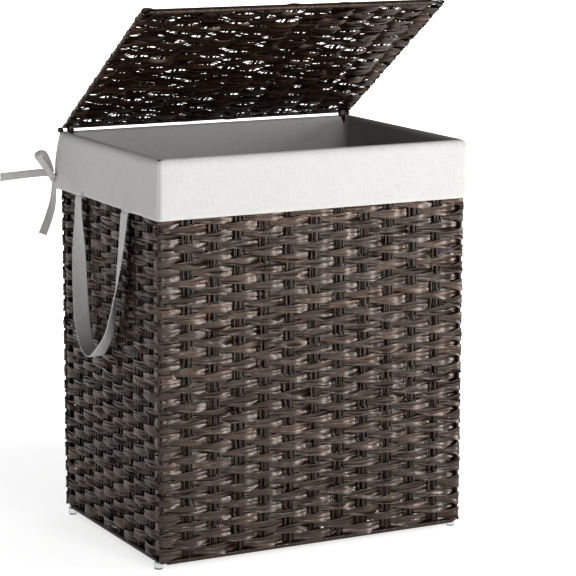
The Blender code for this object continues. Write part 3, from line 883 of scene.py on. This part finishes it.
# The handles. A length of flat cotton webbing is sewn under each side of the cuff by both ends.
# It leaves the hem lying flat on the wall, and twists so that its bottom hangs edge to the wall.
WEBBING_WIDTH, WEBBING = 0.021, 0.0014
HANDLE_X, HANDLE_SHIFT, HANDLE_SPREAD = 0.236, 0.0095, 0.155
pivot = frame["joints"][1]["pos_m"][2]
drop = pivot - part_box("handle_left")[0].z - 0.0003
back, front = HANDLE_SHIFT + HANDLE_SPREAD / 2, HANDLE_SHIFT - HANDLE_SPREAD / 2
start = pivot - 0.0003
handle_way = (
    (-HANDLE_X + 0.0031, back, start + 0.014),
    (-HANDLE_X + 0.0018, back, start + 0.007),
    (-HANDLE_X, back, start),
    (-HANDLE_X - 0.001, back - 0.002, start - 0.15 * drop),
    (-HANDLE_X - 0.003, back - 0.007, start - 0.35 * drop),
    (-HANDLE_X - 0.006, back - 0.016, start - 0.60 * drop),
    (-HANDLE_X - 0.007, back - 0.025, start - 0.82 * drop),
    (-HANDLE_X - 0.007, back - 0.041, start - 0.96 * drop),
    (-HANDLE_X - 0.007, back - 0.064, start - drop),
    (-HANDLE_X - 0.007, back - 0.085, start - 0.95 * drop),
    (-HANDLE_X - 0.006, front + 0.040, start - 0.80 * drop),
    (-HANDLE_X - 0.005, front + 0.025, start - 0.58 * drop),
    (-HANDLE_X - 0.003, front + 0.013, start - 0.35 * drop),
    (-HANDLE_X - 0.001, front + 0.005, start - 0.14 * drop),
    (-HANDLE_X, front, start),
    (-HANDLE_X + 0.0018, front, start + 0.007),
    (-HANDLE_X + 0.0031, front, start + 0.014),
)
handle_turns = (
    (-90, 0), (-90, 0), (-90, 0), (-80, 0), (-52, 0), (-30, 0), (-15, 0), (-5, 0), (0, 0),
    (8, 0), (32, 0), (58, 0), (76, 0), (86, 0), (90, 0), (90, 0), (90, 0),
)


def smooth_way(points, samples):
    """Points evenly along a smooth curve through the given ones."""
    knots = [np.array(point, float) for point in points]
    knots = [2 * knots[0] - knots[1], *knots, 2 * knots[-1] - knots[-2]]
    found = []
    for i in range(samples):
        place = i / (samples - 1) * (len(points) - 1)
        k = min(int(place), len(points) - 2)
        t = place - k
        a, b, c, d = knots[k : k + 4]
        found.append(0.5 * (
            2 * b + (c - a) * t + (2 * a - 5 * b + 4 * c - d) * t**2
            + (3 * b - a - 3 * c + d) * t**3
        ))
    return np.array(found)


def band(name, way, turns, width, thickness, samples, side, cupped=0.0, fray=0.0):
    """A flat band along the way, its width turned to (degrees about Z, degrees up) at each point.

    Its edges are cupped back a little, and the last stretch opens by fray.
    """
    line, angles = smooth_way(way, samples), np.radians(smooth_way(turns, samples))
    line[:, 0] *= -side
    across = np.stack([
        -side * np.cos(angles[:, 1]) * np.cos(angles[:, 0]),
        np.cos(angles[:, 1]) * np.sin(angles[:, 0]),
        np.sin(angles[:, 1]),
    ], axis=1)
    ahead = np.gradient(line, axis=0)
    ahead /= np.linalg.norm(ahead, axis=1)[:, None]
    face = np.cross(ahead, across)
    bare()
    bpy.ops.mesh.primitive_grid_add(x_subdivisions=samples - 1, y_subdivisions=6, size=2)
    made = named(name)
    flat = np.array([vertex.co for vertex in made.data.vertices])
    at = np.rint((flat[:, 0] + 1) / 2 * (samples - 1)).astype(int)
    half = width / 2 * (1 + fray * (at / (samples - 1)) ** 6)
    steps = np.concatenate([[0], np.cumsum(np.linalg.norm(np.diff(line, axis=0), axis=1))])
    points = (
        line[at] + across[at] * (half * flat[:, 1])[:, None]
        + face[at] * (cupped * (flat[:, 1] ** 2 - 0.5))[:, None]
    )
    made.data.vertices.foreach_set("co", points.astype(np.float32).ravel())
    while made.data.uv_layers:
        made.data.uv_layers.remove(made.data.uv_layers[0])
    layer = made.data.uv_layers.new(name="cloth")
    corners = np.empty(len(made.data.loops), np.int32)
    made.data.loops.foreach_get("vertex_index", corners)
    flat_map = np.stack([steps[at], half * flat[:, 1]], axis=1)[corners]
    layer.data.foreach_set("uv", flat_map.astype(np.float32).ravel())
    finished(
        made, ("SOLIDIFY", {"thickness": thickness, "offset": 0.0}),
        ("BEVEL", {"width": 0.3 * thickness, "segments": 2, "limit_method": "ANGLE"}),
    )
    made.data.shade_smooth()
    return made, line


# Webbing: ribs a millimetre apart run across it under close-set lengthwise threads.
webbing, tree, shader = principled("webbing", (0.78, 0.77, 0.74), 0.9, Sheen_Weight=0.15)
cloth = node(tree, "ShaderNodeUVMap", uv_map="cloth").outputs["UV"]
ribs = mixed(tree, "ADD", threads(tree, cloth, "X", 0.0011), threads(tree, cloth, "Y", 0.0008))
wear = noise(tree, scaled(tree, cloth, (120, 700, 1)), 1.0)
bumped(tree, shader, mixed(tree, "ADD", ribs, wear), 0.4, 0.0004)
tree.links.new(
    ramp(tree, wear, (0.3, (0.54, 0.535, 0.52)), (0.7, (0.63, 0.625, 0.61))),
    shader.inputs["Base Color"],
)

for name, side in (("left", -1), ("right", 1)):
    strap, line = band(
        f"{name}_strap", handle_way, handle_turns, WEBBING_WIDTH, WEBBING, 97, side, cupped=0.0007
    )
    strap.data.materials.clear()
    strap.data.materials.append(webbing)
    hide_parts(f"handle_{name}")
    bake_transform(strap)


# The bows. At each rear corner a narrow tape, sewn into the slit cuff, is tied round the lashing
# in a half bow: one loop standing up, one end held out level and one hanging, and a small knot.
TAPE_WIDTH, TAPE = 0.011, 0.0009
knot_low, knot_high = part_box("bow_knot_left")
x, y, z = (knot_low + knot_high) / 2
tape_ways = {
    "tail_out": (
        ((x - 0.0055, y + 0.003, z + 0.0075), (x - 0.020, y + 0.005, z + 0.0078),
         (x - 0.045, y + 0.006, z + 0.0068), (x - 0.078, y + 0.005, z + 0.0052)),
        ((-90, 80), (-90, 86), (-90, 88), (-90, 86)), 49, "bare",
    ),
    "tail_down": (
        ((x + 0.001, y, z - 0.0030), (x - 0.002, y - 0.001, z - 0.031),
         (x - 0.009, y - 0.002, z - 0.054), (x - 0.019, y - 0.002, z - 0.078)),
        ((-84, -5), (-62, -8), (-32, -14), (-26, -20)), 49, "bare",
    ),
    "loop": (
        ((x - 0.0040, y - 0.0062, z + 0.0010), (x - 0.0108, y - 0.0030, z + 0.0130),
         (x - 0.0180, y - 0.0010, z + 0.0235), (x - 0.0235, y + 0.0010, z + 0.0320),
         (x - 0.0195, y + 0.0085, z + 0.0375), (x - 0.0090, y + 0.0150, z + 0.0340),
         (x - 0.0045, y + 0.0120, z + 0.0240), (x - 0.0020, y + 0.0090, z + 0.0140),
         (x - 0.0010, y + 0.0066, z + 0.0060)),
        ((-58, 24),) * 9, 73, "object",
    ),
}
knot_way = [
    (
        x + 0.0044 * math.cos(t) - 0.0008,
        y + 0.0050 * math.sin(t),
        z + 0.0014 * math.cos(2 * t + 0.6),
    )
    for t in np.linspace(0.2, 2.6 * math.pi, 22)
]
for name, side in (("left", -1), ("right", 1)):
    bare()
    bpy.ops.mesh.primitive_uv_sphere_add(segments=32, ring_count=20, radius=1)
    knot = named(f"{name}_bow_knot")
    ball = np.array([vertex.co for vertex in knot.data.vertices])
    lean = np.arctan2(ball[:, 1], ball[:, 0]) + 1.3 * ball[:, 2]
    swell = 1 - 0.10 * np.abs(np.sin(2.5 * lean)) - 0.05 * np.sin(6 * ball[:, 2])
    ball *= (np.array((0.0040, 0.0044, 0.0066)) * swell[:, None])
    ball += (x, y, z)
    ball[:, 0] *= -side
    knot.data.vertices.foreach_set("co", ball.astype(np.float32).ravel())
    if side > 0:
        knot.data.flip_normals()
    thread_map(knot)
    knot.data.shade_smooth()
    wrap, line = band(
        f"{name}_bow_wrap", knot_way, ((0, 82), (0, 90)), 0.0075, TAPE, 60, side, cupped=0.0006
    )
    bare()
    wrap.select_set(True)
    knot.select_set(True)
    bpy.context.view_layer.objects.active = knot
    bpy.ops.object.join()
    knot.data.materials.clear()
    knot.data.materials.append(cotton)
    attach(knot, "hamper")
    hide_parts(f"bow_knot_{name}")
    for part, (way, turns, samples, far_end) in tape_ways.items():
        tape, line = band(
            f"{name}_bow_{part}", way, turns, TAPE_WIDTH, TAPE, samples, side,
            cupped=0.0008, fray=0.08 if far_end == "bare" else 0.0,
        )
        tape.data.materials.clear()
        tape.data.materials.append(cotton)
        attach(tape, "hamper")
        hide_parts(f"bow_{part}_{name}")


# The box round the visual model's shown parts is found, the floor left out.
low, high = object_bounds()
